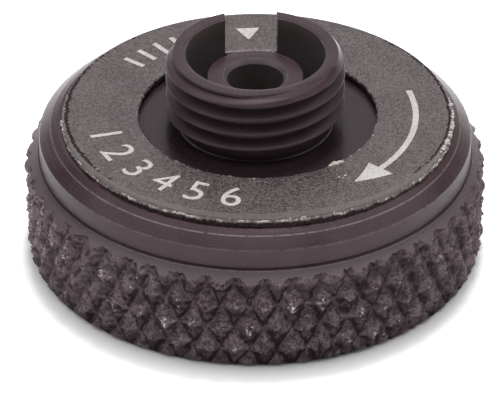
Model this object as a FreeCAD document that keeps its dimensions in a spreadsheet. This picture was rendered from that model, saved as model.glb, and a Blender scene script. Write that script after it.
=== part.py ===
# Fibre connector adapter cap: a knurled aluminium cap that screws onto an optical port, with a threaded
# and keyed nose for a fibre connector and an annular label stuck on its deck.
# The axis is Z, the foot stands on z = 0 and the keyway faces +Y. Lengths are in millimetres.
import FreeCAD, Part
import math
import os

import Sketcher
from FreeCAD import Vector

doc = FreeCAD.newDocument("adapter_cap")

# Driving dimensions
SIZES = (
    ("port_diameter", 15.0, "wall of the hollow underside, before its thread is cut"),
    ("port_mouth_chamfer", 0.5, "lead-in at the mouth of the underside"),
    ("relief_depth", 0.6, "thread relief at the inner end of the underside, outward from its wall"),
    ("relief_length", 0.9, "thread relief, along the axis"),
    ("skirt_wall", 2.86, "from the wall of the underside to the knurl's crests"),
    ("end_wall", 1.74, "between the underside and the deck"),
    ("foot_chamfer", 0.4, "edge break at the foot"),
    ("knurl_height", 4.35, "foot to the top of the knurl's crests"),
    ("knurl_count", 51, "diamonds around the grip"),
    ("knurl_depth", 0.33, "crest to groove"),
    ("knurl_row_pitch", 1.14, "from one row of points to the next, along the axis"),
    ("knurl_first_row", 0.87, "foot to the lowest row of points"),
    ("knurl_turn", -91.5, "direction of one point of the lowest row, in degrees from +X"),
    ("shoulder_width", 0.66, "bevel from the knurl in to the neck, across"),
    ("shoulder_rise", 0.46, "the same bevel, along the axis"),
    ("neck_height", 0.94, "plain cylinder above the shoulder"),
    ("deck_edge_width", 0.55, "bevel from the neck in to the deck's rim, across"),
    ("deck_edge_rise", 0.42, "the same bevel, along the axis"),
    ("deck_rim_width", 0.31, "flatter bevel from there in to the deck's flat, across"),
    ("deck_rim_rise", 0.17, "the same flatter bevel, along the axis"),
    ("ferrule_diameter", 2.5, "hole for the connector's ferrule"),
    ("ferrule_countersink", 0.27, "lead-in of the ferrule hole"),
    ("ferrule_exit_chamfer", 0.25, "edge break where the ferrule hole meets the underside"),
    ("boss_wall", 0.88, "wall around the ferrule hole"),
    ("boss_setback", 1.15, "boss face below the nose's rim"),
    ("socket_gap", 0.97, "annular room around the boss for the connector's barrel"),
    ("socket_sink", 0.4, "socket floor below the deck"),
    ("nose_wall", 0.9, "socket to the crests of the nose's thread"),
    ("nose_length", 3.5, "deck to the nose's rim"),
    ("nose_chamfer", 0.33, "lead-in of the nose's thread"),
    ("keyway_width", 2.35, "slot for the connector's key"),
    ("keyway_sill", 1.0, "deck to the keyway's floor"),
    ("label_thickness", 0.37, "printed label"),
    ("label_bevel_width", 0.22, "bevel round both edges of the label, across"),
    ("label_bevel_drop", 0.17, "the same bevel, along the axis"),
    ("label_edge_margin", 0.03, "label inside the deck's flat"),
    ("label_nose_gap", 1.29, "label's hole outside the nose"),
    ("label_shift", 0.11, "the label is stuck on a little off centre, towards +X"),
)


def make_sheet():
    sheet = doc.addObject("Spreadsheet::Sheet", "dims")
    for row, (alias, value, meaning) in enumerate(SIZES, start=1):
        sheet.set(f"A{row}", meaning)
        sheet.set(f"B{row}", str(value))
        sheet.setAlias(f"B{row}", alias)
    doc.recompute()
    return sheet


dims = make_sheet()

# Radii of the turned form, worked out from the driving dimensions
PORT_R = "dims.port_diameter / 2"
RELIEF_R = f"{PORT_R} + dims.relief_depth"
CREST_R = f"{PORT_R} + dims.skirt_wall"
NECK_R = f"{CREST_R} - dims.shoulder_width"
DECK_RIM_R = f"{NECK_R} - dims.deck_edge_width"
DECK_R = f"{DECK_RIM_R} - dims.deck_rim_width"
FERRULE_R = "dims.ferrule_diameter / 2"
BOSS_R = f"{FERRULE_R} + dims.boss_wall"
SOCKET_R = f"{BOSS_R} + dims.socket_gap"
NOSE_R = f"{SOCKET_R} + dims.nose_wall"
LABEL_R = f"{DECK_R} - dims.label_edge_margin"
LABEL_HOLE_R = f"{NOSE_R} + dims.label_nose_gap"

# Heights above the foot
NECK_Z = "dims.knurl_height + dims.shoulder_rise"
NECK_TOP_Z = f"{NECK_Z} + dims.neck_height"
DECK_RIM_Z = f"{NECK_TOP_Z} + dims.deck_edge_rise"
DECK_Z = f"{DECK_RIM_Z} + dims.deck_rim_rise"
PORT_END_Z = f"{DECK_Z} - dims.end_wall"
SOCKET_Z = f"{DECK_Z} - dims.socket_sink"
SILL_Z = f"{DECK_Z} + dims.keyway_sill"
RIM_Z = f"{DECK_Z} + dims.nose_length"
BOSS_Z = f"{RIM_Z} - dims.boss_setback"
LABEL_TOP_Z = f"{DECK_Z} + dims.label_thickness"
LABEL_SIDE_Z = f"{LABEL_TOP_Z} - dims.label_bevel_drop"

# Stock outside the crests, which the knurl trims away
STOCK = "dims.knurl_depth"

# The turned blank's section as radius and height: up the outside, over the nose and down the inside
TURNED_SECTION = (
    (f"{PORT_R} + dims.port_mouth_chamfer", None),
    (f"{CREST_R} - dims.foot_chamfer", None),
    (f"{CREST_R} + {STOCK}", f"dims.foot_chamfer + {STOCK}"),
    (f"{CREST_R} + {STOCK}", f"dims.knurl_height - {STOCK} * dims.shoulder_rise / dims.shoulder_width"),
    (NECK_R, NECK_Z),
    (NECK_R, NECK_TOP_Z),
    (DECK_RIM_R, DECK_RIM_Z),
    (DECK_R, DECK_Z),
    (NOSE_R, DECK_Z),
    (NOSE_R, f"{RIM_Z} - dims.nose_chamfer"),
    (f"{NOSE_R} - dims.nose_chamfer", RIM_Z),
    (SOCKET_R, RIM_Z),
    (SOCKET_R, SOCKET_Z),
    (BOSS_R, SOCKET_Z),
    (BOSS_R, BOSS_Z),
    (f"{FERRULE_R} + dims.ferrule_countersink", BOSS_Z),
    (FERRULE_R, f"{BOSS_Z} - dims.ferrule_countersink"),
    (FERRULE_R, f"{PORT_END_Z} + dims.ferrule_exit_chamfer"),
    (f"{FERRULE_R} + dims.ferrule_exit_chamfer", PORT_END_Z),
    (RELIEF_R, PORT_END_Z),
    (RELIEF_R, f"{PORT_END_Z} - dims.relief_length"),
    (PORT_R, f"{PORT_END_Z} - dims.relief_length"),
    (PORT_R, "dims.port_mouth_chamfer"),
)

# The label's section: its underside, its outer edge, its face and the edge of its hole
LABEL_SECTION = (
    (LABEL_HOLE_R, DECK_Z),
    (LABEL_R, DECK_Z),
    (LABEL_R, LABEL_SIDE_Z),
    (f"{LABEL_R} - dims.label_bevel_width", LABEL_TOP_Z),
    (f"{LABEL_HOLE_R} + dims.label_bevel_width", LABEL_TOP_Z),
    (LABEL_HOLE_R, LABEL_SIDE_Z),
)

# The keyway's section across Y and Z: from the middle of the socket's gap out past the nose and its rim
KEYWAY_INNER_R = f"{BOSS_R} + dims.socket_gap / 2"
KEYWAY_OUTER_R = f"{NOSE_R} + dims.nose_wall"
KEYWAY_TOP_Z = f"{RIM_Z} + dims.nose_wall"
KEYWAY_SECTION = (
    (KEYWAY_INNER_R, SILL_Z),
    (KEYWAY_OUTER_R, SILL_Z),
    (KEYWAY_OUTER_R, KEYWAY_TOP_Z),
    (KEYWAY_INNER_R, KEYWAY_TOP_Z),
)


def sketch_on(body, name, role):
    """A new sketch on one of the body's own origin planes."""
    sketch = body.newObject("Sketcher::SketchObject", name)
    plane = next(item for item in body.Origin.OriginFeatures if item.Role == role)
    sketch.AttachmentSupport = [(plane, "")]
    sketch.MapMode = "FlatFace"
    return sketch


def bind(sketch, constraint, expression):
    row = sketch.addConstraint(constraint)
    sketch.setExpression(f"Constraints[{row}]", expression)


def draw_section(sketch, points):
    """A closed outline of straight lines. Each point is two expressions; one with no height is on the base line."""
    count = len(points)
    rough = [Vector(i + 1, i + 1, 0) for i in range(count)]
    for i in range(count):
        sketch.addGeometry(Part.LineSegment(rough[i], rough[(i + 1) % count]))
    for i in range(count):
        sketch.addConstraint(Sketcher.Constraint("Coincident", i, 2, (i + 1) % count, 1))
    for i, (across, up) in enumerate(points):
        bind(sketch, Sketcher.Constraint("DistanceX", -1, 1, i, 1, rough[i].x), across)
        if up is None:
            sketch.addConstraint(Sketcher.Constraint("PointOnObject", i, 1, -1))
        else:
            bind(sketch, Sketcher.Constraint("DistanceY", -1, 1, i, 1, rough[i].y), up)


def make_blank():
    """The cap as it comes off the lathe and the slotting cutter, before it is knurled."""
    body = doc.addObject("PartDesign::Body", "turned_blank")
    section = sketch_on(body, "turned_section", "YZ_Plane")
    draw_section(section, TURNED_SECTION)
    turned = body.newObject("PartDesign::Revolution", "turned_form")
    turned.Profile = section
    turned.ReferenceAxis = (section, ["V_Axis"])
    turned.Angle = 360
    doc.recompute()
    whole = turned.Shape.Volume

    slot = sketch_on(body, "keyway_section", "YZ_Plane")
    draw_section(slot, KEYWAY_SECTION)
    keyway = body.newObject("PartDesign::Pocket", "keyway")
    keyway.Profile = slot
    keyway.SideType = "Symmetric"
    keyway.setExpression("Length", "dims.keyway_width")
    doc.recompute()
    if keyway.Shape.Volume >= whole:
        raise RuntimeError("the keyway cut nothing")
    return body


def knurl_room():
    """The room around the grip: its inner face is the diamond knurl and its outer face a plain polygon.

    Points and groove crossings alternate on a grid of columns and rows. Each cell of the grid is folded
    along the groove that joins its two crossings, so every diamond is a four-sided pyramid.
    """
    crest = dims.port_diameter / 2 + dims.skirt_wall
    depth = dims.knurl_depth
    columns = 2 * round(dims.knurl_count)
    pitch = dims.knurl_row_pitch
    top = dims.knurl_height + dims.shoulder_rise
    lowest = -math.ceil(dims.knurl_first_row / pitch)
    highest = math.ceil((top - dims.knurl_first_row) / pitch)
    outside = crest + 3 * depth

    def on_grid(radius, row, column):
        angle = math.radians(dims.knurl_turn) + math.tau * column / columns
        height = dims.knurl_first_row + row * pitch
        return Vector(radius * math.cos(angle), radius * math.sin(angle), height)

    def is_point(row, column):
        return (row + column) % 2 == 0

    def knurl(row, column):
        return on_grid(crest if is_point(row, column) else crest - depth, row, column)

    def polygon(corners):
        return Part.makePolygon(corners + corners[:1])

    faces = []
    for column in range(columns):
        for row in range(lowest, highest):
            near = knurl(row, column)
            right = knurl(row, column + 1)
            far = knurl(row + 1, column + 1)
            up = knurl(row + 1, column)
            halves = ((near, right, up), (far, up, right)) if is_point(row, column) else (
                (right, far, near), (up, near, far))
            faces += [Part.Face(polygon(list(half))) for half in halves]
        side = [on_grid(outside, lowest, column), on_grid(outside, lowest, column + 1),
                on_grid(outside, highest, column + 1), on_grid(outside, highest, column)]
        faces.append(Part.Face(polygon(side)))
    for row in (lowest, highest):
        inner = polygon([knurl(row, column) for column in range(columns)])
        outer = polygon([on_grid(outside, row, column) for column in range(columns)])
        faces.append(Part.makeFace([outer, inner], "Part::FaceMakerBullseye"))
    room = Part.Solid(Part.Shell(faces))
    if room.Volume < 0:
        room.reverse()
    return room


def make_adapter_body():
    blank = make_blank()
    room = doc.addObject("Part::Feature", "knurl_room")
    room.Shape = knurl_room()
    body = doc.addObject("Part::Cut", "adapter_body")
    body.Base = blank
    body.Tool = room
    return body


def make_face_label():
    body = doc.addObject("PartDesign::Body", "face_label")
    section = sketch_on(body, "label_section", "XZ_Plane")
    section.setExpression("AttachmentOffset.Base.x", "dims.label_shift")
    draw_section(section, LABEL_SECTION)
    ring = body.newObject("PartDesign::Revolution", "label_ring")
    ring.Profile = section
    ring.ReferenceAxis = (section, ["V_Axis"])
    ring.Angle = 360
    return body


def check_document():
    for item in doc.Objects:
        if "Invalid" in item.State or "Error" in item.State:
            raise RuntimeError(f"{item.Label} did not build: {item.State}")


nodes = (make_adapter_body(), make_face_label())
doc.recompute()
check_document()
os.makedirs("parts", exist_ok=True)
for node in nodes:
    node.Label = node.Name
    if node.Shape.isNull() or not node.Shape.isValid() or len(node.Shape.Solids) != 1:
        raise RuntimeError(f"{node.Label} is not one valid solid")
for node in nodes:
    node.Shape.exportStep(f"parts/{node.Label}.step")
    box = node.Shape.BoundBox
    print(f"{node.Label}: {node.Shape.Volume:.2f} mm3, {len(node.Shape.Faces)} faces, "
          f"x {box.XMin:.3f}..{box.XMax:.3f}, y {box.YMin:.3f}..{box.YMax:.3f}, z {box.ZMin:.3f}..{box.ZMax:.3f}")
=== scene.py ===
# %% [markdown]
# # A knurled connector cap on a white table
# This lesson dresses a small turned cap for a studio picture. The cap screws onto an optical port, and a
# fibre connector screws onto its threaded nose. It is one piece of black anodised aluminium, 20.7 mm
# across, with a thin plastic label stuck on its deck. We start from the measured model, which gives us the
# frame to work in, and keep its outer box.

# %% Load the measured model
import math

import bmesh
import bpy
import numpy as np
from mathutils import Matrix, Vector


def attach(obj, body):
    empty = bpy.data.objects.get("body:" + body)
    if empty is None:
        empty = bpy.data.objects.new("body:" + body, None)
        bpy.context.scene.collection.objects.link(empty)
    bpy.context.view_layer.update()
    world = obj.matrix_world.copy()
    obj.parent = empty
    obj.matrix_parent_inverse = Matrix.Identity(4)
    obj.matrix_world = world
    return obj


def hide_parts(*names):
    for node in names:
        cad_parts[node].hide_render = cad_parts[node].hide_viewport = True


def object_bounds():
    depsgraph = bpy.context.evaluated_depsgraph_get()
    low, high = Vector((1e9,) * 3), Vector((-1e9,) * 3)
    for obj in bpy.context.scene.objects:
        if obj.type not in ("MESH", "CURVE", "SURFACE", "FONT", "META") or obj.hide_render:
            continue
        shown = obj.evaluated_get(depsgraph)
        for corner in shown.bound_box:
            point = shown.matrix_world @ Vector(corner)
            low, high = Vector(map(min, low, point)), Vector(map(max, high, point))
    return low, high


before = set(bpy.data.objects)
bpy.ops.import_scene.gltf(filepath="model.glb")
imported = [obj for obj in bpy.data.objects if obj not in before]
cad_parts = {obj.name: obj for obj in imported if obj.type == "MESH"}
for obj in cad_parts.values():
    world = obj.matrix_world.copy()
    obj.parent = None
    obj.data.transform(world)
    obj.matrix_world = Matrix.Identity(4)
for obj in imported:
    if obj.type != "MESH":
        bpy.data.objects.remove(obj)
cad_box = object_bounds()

MM = 0.001  # the lesson thinks in millimetres, Blender in metres
box_mm = [[round(x / MM, 2) for x in corner] for corner in cad_box]
print("nodes:", sorted(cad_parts), "box in mm:", box_mm)

# %% [markdown]
# ## The camera
# The picture was taken from the front and above with a long lens. We could move a camera by eye, but the
# ellipses of the turned edges give its place by calculation: 33.6 degrees up, turned 3.8 degrees from the
# keyway's plane. The picture is 500 pixels wide, so a focal length in pixels turns into millimetres of lens
# on a 36 mm sensor. The camera is aimed a little past the foot's centre instead of shifting its sensor.

# %% Place the camera
PICTURE_WIDTH = 500
SENSOR_WIDTH = 36.0
FOCAL_PIXELS = 4178.9
STAND_OFF = 190.0 * MM
NEAR_CLIP = 10 * MM
ELEVATION = math.radians(33.61)
TURN = math.radians(3.8)
ROLL = 0.0045
sighted_point = Vector((0, 0, 0.2 * MM))
sighted_right, sighted_down = 4.7, 34.15  # where that point lies from the picture's middle, in pixels

out_of_picture = Vector((-math.cos(ELEVATION) * math.sin(TURN), -math.cos(ELEVATION) * math.cos(TURN),
                         math.sin(ELEVATION)))
level_right = Vector((math.cos(TURN), -math.sin(TURN), 0))
level_up = out_of_picture.cross(level_right)
right = level_right * math.cos(ROLL) + level_up * math.sin(ROLL)
up = level_up * math.cos(ROLL) - level_right * math.sin(ROLL)
look = -out_of_picture + up * sighted_down / FOCAL_PIXELS - right * sighted_right / FOCAL_PIXELS
look = look.normalized()
up = (up - look * up.dot(look)).normalized()

camera = bpy.data.objects.new("portrait_camera", bpy.data.cameras.new("portrait_camera"))
camera.data.sensor_width = SENSOR_WIDTH
camera.data.lens = FOCAL_PIXELS * SENSOR_WIDTH / PICTURE_WIDTH
camera.data.clip_start = NEAR_CLIP
camera.matrix_world = Matrix.Translation(sighted_point + out_of_picture * STAND_OFF) @ Matrix(
    (look.cross(up), up, -look)).transposed().to_4x4()
bpy.context.scene.collection.objects.link(camera)
bpy.context.scene.camera = camera
print(f"lens {camera.data.lens:.1f} mm, camera at {[round(x / MM, 1) for x in camera.location]} mm")

# %% [markdown]
# ## Rings of points
# Nearly everything here came off a lathe, so the meshes are made as a lathe makes them: a section is walked
# from point to point, and each point becomes a ring. Blender's Screw modifier would spin a section too, but
# it can't cut a knurl, a thread or a slot. With our own rings each one may have its own radius at every
# angle. A fourth number travels with each point, its wear_and_shade. Above 0 the surface is rubbed bare,
# and in a few places that paints a highlight. Below 0 shade is painted there, mostly in hollows. The
# materials read it later.

# %% Ring helpers
LONGEST_EASE = 0.45  # share of a side that a corner's curve may take, so that two curves never meet
CURVE_STEPS = 5


def directions(count, turn=0.0):
    """Evenly spaced angles of one full turn."""
    return turn + math.tau * np.arange(count) / count


def ramp(value, start, end):
    """0 up to start, 1 from end on, and straight in between."""
    return np.clip((value - start) / (end - start), 0, 1)


def ring(angle, radius, height, wear_and_shade=0.0):
    """One ring of points as rows of x, y, z and wear_and_shade."""
    radius, height, wear_and_shade = (np.broadcast_to(value, angle.shape) for value in (radius, height, wear_and_shade))
    return np.column_stack((radius * np.cos(angle), radius * np.sin(angle), height, wear_and_shade))


def eased(section):
    """A section of (radius, height, ease, wear_and_shade), each corner swapped for a curve that starts ease
    before it.

    The first and the last point only give directions, and are dropped.
    """
    walked = []
    for before, here, after in zip(section[:-2], section[1:-1], section[2:]):
        corner = np.array(here[:2])
        entry, leave = (np.array(other[:2]) - corner for other in (before, after))
        ease = min(here[2], LONGEST_EASE * np.hypot(*entry), LONGEST_EASE * np.hypot(*leave))
        if not ease:
            walked.append((*corner, 0.0))
            continue
        start, end = (corner + side * ease / np.hypot(*side) for side in (entry, leave))
        for t in np.linspace(0, 1, CURVE_STEPS):
            spot = (1 - t) ** 2 * start + 2 * t * (1 - t) * corner + t * t * end
            walked.append((*spot, here[3] * math.sin(math.pi * t)))
    return walked


print("four directions in degrees:", np.degrees(directions(4)))

# %% [markdown]
# ## Joining two rings
# Two rings with the same number of points are joined by quads. Where a fine ring meets a coarse one, each
# coarse point gathers a fan of fine ones, so the plain parts need fewer faces than the knurl. A Decimate
# modifier could thin them out afterwards, but it would also nibble at the knurl's grooves.

# %% Join two rings
def join_rings(first_a, count_a, first_b, count_b):
    """Faces between two rings, given the index of each ring's first point and its number of points."""
    if count_a == count_b:
        i = np.arange(count_a)
        j = (i + 1) % count_a
        return np.column_stack((first_a + i, first_a + j, first_b + j, first_b + i)).tolist()
    faces = []
    coarse_is_a = count_a < count_b
    coarse_first, fine_first = (first_a, first_b) if coarse_is_a else (first_b, first_a)
    count, fine_count = min(count_a, count_b), max(count_a, count_b)
    share = fine_count // count
    for i in range(count):
        here, there = coarse_first + i, coarse_first + (i + 1) % count
        fan = [fine_first + (i * share + k) % fine_count for k in range(share + 1)]
        middle = share // 2
        rows = [(here, fan[k + 1], fan[k]) for k in range(middle)] + [(here, there, fan[middle])]
        rows += [(there, fan[k + 1], fan[k]) for k in range(middle, share)]
        faces += rows if coarse_is_a else [row[::-1] for row in rows]
    return faces


print("faces between rings of 4 and 12 points:", len(join_rings(0, 4, 4, 12)))

# %% [markdown]
# ## From rings to a piece
# The last ring is joined to the first, which closes the skin: the piece is a watertight solid. Smooth
# shading hides the facets of round walls, but it would also blur true corners. So edges with a strong bend
# are marked as sharp, and so are the edges between two finishes. Every piece rides on the cap's one body.

# %% Skin and piece
def skin(rings):
    """Points, faces and each face's finish for a list of (ring, finish), joined in order and closed."""
    starts = np.cumsum([0] + [len(points) for points, _ in rings])
    faces, finishes = [], []
    for i, (points, finish) in enumerate(rings):
        j = (i + 1) % len(rings)
        made = join_rings(int(starts[i]), len(points), int(starts[j]), len(rings[j][0]))
        faces += made
        finishes += [finish] * len(made)
    return np.vstack([points for points, _ in rings]), faces, finishes


def sharpen_between_finishes(mesh):
    """Mark the edges where two materials meet as sharp."""
    finishes_at = {}
    for polygon in mesh.polygons:
        for key in polygon.edge_keys:
            finishes_at.setdefault(key, set()).add(polygon.material_index)
    for edge in mesh.edges:
        edge.use_edge_sharp = edge.use_edge_sharp or len(finishes_at[edge.key]) > 1


def new_piece(name, points, faces, finishes, materials, sharp_degrees):
    """A mesh object in the scene, riding on the cap, with each point's wear_and_shade kept as an attribute.
    """
    mesh = bpy.data.meshes.new(name)
    mesh.from_pydata((points[:, :3] * MM).tolist(), [], faces)
    for material in materials:
        mesh.materials.append(material)
    mesh.polygons.foreach_set("material_index", finishes)
    mesh.attributes.new("wear_and_shade", "FLOAT", "POINT").data.foreach_set("value", points[:, 3])
    mesh.shade_smooth()
    mesh.set_sharp_from_angle(angle=math.radians(sharp_degrees))
    if len(materials) > 1:
        sharpen_between_finishes(mesh)
    mesh.validate()
    piece = bpy.data.objects.new(name, mesh)
    bpy.context.scene.collection.objects.link(piece)
    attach(piece, "root")
    triangles = sum(len(face) - 2 for face in faces)
    print(f"{name}: {len(points)} points, {triangles} triangles")
    return piece


sample = skin([(ring(directions(8), 1, height), 0) for height in (0, 1)])
print("a skin of two rings of 8 points has", len(sample[1]), "faces")

# %% [markdown]
# ## Building blocks for the finishes
# A material is a network of nodes. Writing each link by hand is long, so one small helper adds a node, sets
# its inputs and returns it. An input may be a number, a colour or the output of another node. Effects that
# several finishes share are node groups, built once, with sockets that have names.

# %% Node helpers
def fill(tree, node, values):
    """Set a node's inputs, by name or number, to values or to other nodes' outputs."""
    for key, value in values.items():
        if isinstance(value, bpy.types.NodeSocket):
            tree.links.new(value, node.inputs[key])
        else:
            node.inputs[key].default_value = value


def add(tree, kind, inputs=None, **settings):
    """Add a node of this kind, with its settings and inputs."""
    node = tree.nodes.new(f"ShaderNode{kind}")
    for name, value in settings.items():
        setattr(node, name, value)
    fill(tree, node, inputs or {})
    return node


def maths(tree, operation, first, second=0.0, clamp=False):
    return add(tree, "Math", {0: first, 1: second}, operation=operation, use_clamp=clamp).outputs[0]


def spread_out(tree, value, start, end, low=0.0, high=1.0, **settings):
    """The value's range from start to end spread out to low to high."""
    span = {"Value": value, "From Min": start, "From Max": end, "To Min": low, "To Max": high}
    return add(tree, "MapRange", span, **settings).outputs["Result"]


def blend(tree, share, first, second):
    """A colour between two others."""
    return add(tree, "Mix", {"Factor": share, "A": first, "B": second}, data_type="RGBA").outputs["Result"]


print("node helpers:", ", ".join(helper.__name__ for helper in (fill, add, maths, spread_out, blend)))

# %% [markdown]
# ## Groups and materials
# A group gets its sockets from its interface, with a start value for each input. Every new material comes
# with a Principled shader, which stays in the material itself: only colours, masks and values come out of a
# group.

# %% Group and material helpers
def new_group(name, inputs, outputs):
    """A shader group with float sockets; returns it with its input and output nodes' sockets."""
    group = bpy.data.node_groups.new(name, "ShaderNodeTree")
    for socket, value in inputs.items():
        made = group.interface.new_socket(socket, in_out="INPUT", socket_type="NodeSocketFloat")
        made.default_value = value
    for socket in outputs:
        group.interface.new_socket(socket, in_out="OUTPUT", socket_type="NodeSocketFloat")
    return group, group.nodes.new("NodeGroupInput").outputs, group.nodes.new("NodeGroupOutput").inputs


def use_group(tree, group, values):
    """Place a group in a material and return its outputs."""
    node = tree.nodes.new("ShaderNodeGroup")
    node.node_tree = group
    fill(tree, node, values)
    return node.outputs


def new_material(name):
    """An empty material; returns it with its node tree and its Principled shader."""
    material = bpy.data.materials.new(name)
    material.use_nodes = True
    return material, material.node_tree, material.node_tree.nodes["Principled BSDF"]


print("group helpers:", ", ".join(helper.__name__ for helper in (new_group, use_group, new_material)))

# %% [markdown]
# ## Shared effect: fine grain
# Anodising etches the metal, and a label's film is embossed so that it doesn't shine. Both look like very
# fine sand. A scanned texture would do, but layered noise has no seams and any size. A second, slow noise
# keeps the grain from looking even, and is handed out as well.

# %% Group: fine grain
PATCHES_PER_MM = 0.6
fine_grain, grain_in, grain_out = new_group(
    "fine_grain", {"Grain Size mm": 0.1, "Unevenness": 0.3}, ("Grain", "Patches"))
here = add(fine_grain, "TexCoord").outputs["Object"]
per_metre = maths(fine_grain, "DIVIDE", 1 / MM, grain_in["Grain Size mm"])
sand = add(fine_grain, "TexNoise", {"Vector": here, "Scale": per_metre, "Detail": 2.0, "Roughness": 0.6})
patches = add(fine_grain, "TexNoise", {"Vector": here, "Scale": PATCHES_PER_MM / MM, "Detail": 3.0})
off_middle = maths(fine_grain, "SUBTRACT", patches.outputs["Fac"], 0.5)
slow = maths(fine_grain, "MULTIPLY", off_middle, grain_in["Unevenness"])
fine_grain.links.new(maths(fine_grain, "ADD", sand.outputs["Fac"], slow, clamp=True), grain_out["Grain"])
fine_grain.links.new(patches.outputs["Fac"], grain_out["Patches"])
print("group", fine_grain.name)

# %% [markdown]
# ## Shared effect: turning lines
# A lathe tool leaves rings that are a few hundredths of a millimetre apart. They depend only on the
# distance from the axis and the height, and hardly on the angle, so the noise is given those two as its
# coordinates and just a little of the angle. That draws streaks which run round the part on walls, bevels
# and flat faces alike. A ring texture would draw perfect circles instead, and real tool marks are broken.

# %% Group: turning lines
turning_lines, turning_in, turning_out = new_group(
    "turning_lines", {"Line Width mm": 0.05, "Broken": 2.0}, ("Lines",))
x, y, z = add(turning_lines, "SeparateXYZ", {0: add(turning_lines, "TexCoord").outputs["Object"]}).outputs
squares = [maths(turning_lines, "MULTIPLY", side, side) for side in (x, y)]
from_axis = maths(turning_lines, "SQRT", maths(turning_lines, "ADD", *squares))
around = maths(turning_lines, "ARCTAN2", y, x)
per_metre = maths(turning_lines, "DIVIDE", 1 / MM, turning_in["Line Width mm"])
streak_place = add(turning_lines, "CombineXYZ", {
    0: maths(turning_lines, "MULTIPLY", from_axis, per_metre),
    1: maths(turning_lines, "MULTIPLY", z, per_metre),
    2: maths(turning_lines, "MULTIPLY", around, turning_in["Broken"])}).outputs[0]
streaks = add(turning_lines, "TexNoise", {
    "Vector": streak_place, "Scale": 1.0, "Detail": 3.0, "Roughness": 0.55})
turning_lines.links.new(streaks.outputs["Fac"], turning_out["Lines"])
print("group", turning_lines.name)

# %% [markdown]
# ## Shared effect: worn edges and painted shade
# Where edges rub, the dye goes first and paler metal or torn plastic shows. Blender can find edges by their
# pointiness, but that depends on the mesh. Our meshes carry a wear_and_shade value, high on edges and tips.
# Noise breaks it up, so that an edge is chipped here and whole there; in a few places this mask paints a
# highlight. Negative values come out as a second mask, which paints shade.

# %% Group: worn edges and painted shade
CHIP_SOFTNESS = 0.12
worn_edges_and_shade, worn_in, worn_out = new_group(
    "worn_edges_and_shade", {"Amount": 0.5, "Chip Size mm": 0.15}, ("Worn And Highlight", "Painted Shade"))
wear_and_shade = add(worn_edges_and_shade, "Attribute", attribute_name="wear_and_shade").outputs["Fac"]
chips = add(worn_edges_and_shade, "TexNoise", {
    "Vector": add(worn_edges_and_shade, "TexCoord").outputs["Object"],
    "Scale": maths(worn_edges_and_shade, "DIVIDE", 1 / MM, worn_in["Chip Size mm"]), "Detail": 2.0}).outputs["Fac"]
lack = maths(worn_edges_and_shade, "SUBTRACT", 1.0, worn_in["Amount"])
open_chips = spread_out(worn_edges_and_shade, chips, maths(worn_edges_and_shade, "SUBTRACT", lack, CHIP_SOFTNESS),
                        maths(worn_edges_and_shade, "ADD", lack, CHIP_SOFTNESS))
worn_edges_and_shade.links.new(maths(worn_edges_and_shade, "MULTIPLY", wear_and_shade, open_chips, clamp=True), worn_out["Worn And Highlight"])
worn_edges_and_shade.links.new(maths(worn_edges_and_shade, "MULTIPLY", wear_and_shade, -1.0, clamp=True), worn_out["Painted Shade"])
print("group", worn_edges_and_shade.name)

# %% [markdown]
# ## The anodised finish
# Black anodising is a dyed oxide layer on aluminium. The layer hides the metal, so most of it is made as a
# dark, glossy pigment: a warm black that varies a little. Where it is rubbed off, the colour turns pale and
# Metallic rises. One plain black would be quicker, but flat. So the turned faces get streaks in colour,
# gloss and relief. The knurl, which was pressed, not cut, has grain instead, and broken faces where metal
# shines through.

# %% Anodised material
DYES = (0.029, 0.0155, 0.019, 1), (0.055, 0.034, 0.039, 1)
# the first colour is painted shade; the rubbed and bare colours show real wear, and in a few places they
# paint a highlight
PAINTED_SHADE_DYE, RUBBED_AND_HIGHLIGHT, BARE_METAL_AND_GLINT = (0.014, 0.009, 0.011, 1), (0.30, 0.26, 0.26, 1), (0.80, 0.76, 0.75, 1)
METAL_SHEEN = (1.0, 0.87, 0.91, 1)
METAL_GRAIN = {"Grain Size mm": 0.10, "Unevenness": 0.6}
TOOL_MARKS = {"Line Width mm": 0.06, "Broken": 1.5}
GLOSS_SPREAD = 0.08


def anodised(name, dyes, gloss, ior, bare_and_highlight=RUBBED_AND_HIGHLIGHT, streak=0.6, worn_amount=0.60, chip_size=0.25,
             relief_mm=0.003, dullness=0.0, metal=0.0):
    """Black anodised metal; gloss is the middle roughness, streak the share of tool marks in the relief."""
    material, tree, shader = new_material(name)
    grain = use_group(tree, fine_grain, METAL_GRAIN)
    lines = use_group(tree, turning_lines, TOOL_MARKS)["Lines"]
    worn = use_group(tree, worn_edges_and_shade, {"Amount": worn_amount, "Chip Size mm": chip_size})
    relief = add(tree, "Mix", {"Factor": streak, "A": grain["Grain"], "B": lines}).outputs["Result"]
    tone = maths(tree, "MULTIPLY", maths(tree, "ADD", relief, grain["Patches"]), 0.5)
    dye = blend(tree, spread_out(tree, tone, 0.25, 0.75), *dyes)
    # painted shade: the dye darkens where the mesh value is below 0; above 0 it turns to the finish's pale
    # colour
    colour = blend(tree, worn["Worn And Highlight"], blend(tree, worn["Painted Shade"], dye, PAINTED_SHADE_DYE), bare_and_highlight)
    tree.links.new(colour, shader.inputs["Base Color"])
    rough = spread_out(tree, relief, 0.3, 0.7, gloss - GLOSS_SPREAD, gloss + GLOSS_SPREAD)
    dull = maths(tree, "ADD", rough, maths(tree, "MULTIPLY", worn["Painted Shade"], dullness), clamp=True)
    tree.links.new(dull, shader.inputs["Roughness"])
    tree.links.new(maths(tree, "ADD", worn["Worn And Highlight"], metal, clamp=True), shader.inputs["Metallic"])
    bump = add(tree, "Bump", {"Height": relief, "Strength": 1.0, "Distance": relief_mm * MM})
    tree.links.new(bump.outputs["Normal"], shader.inputs["Normal"])
    shader.inputs["IOR"].default_value = ior
    shader.inputs["Specular Tint"].default_value = METAL_SHEEN
    return material


print("dyes of the turned faces:", DYES)
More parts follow.
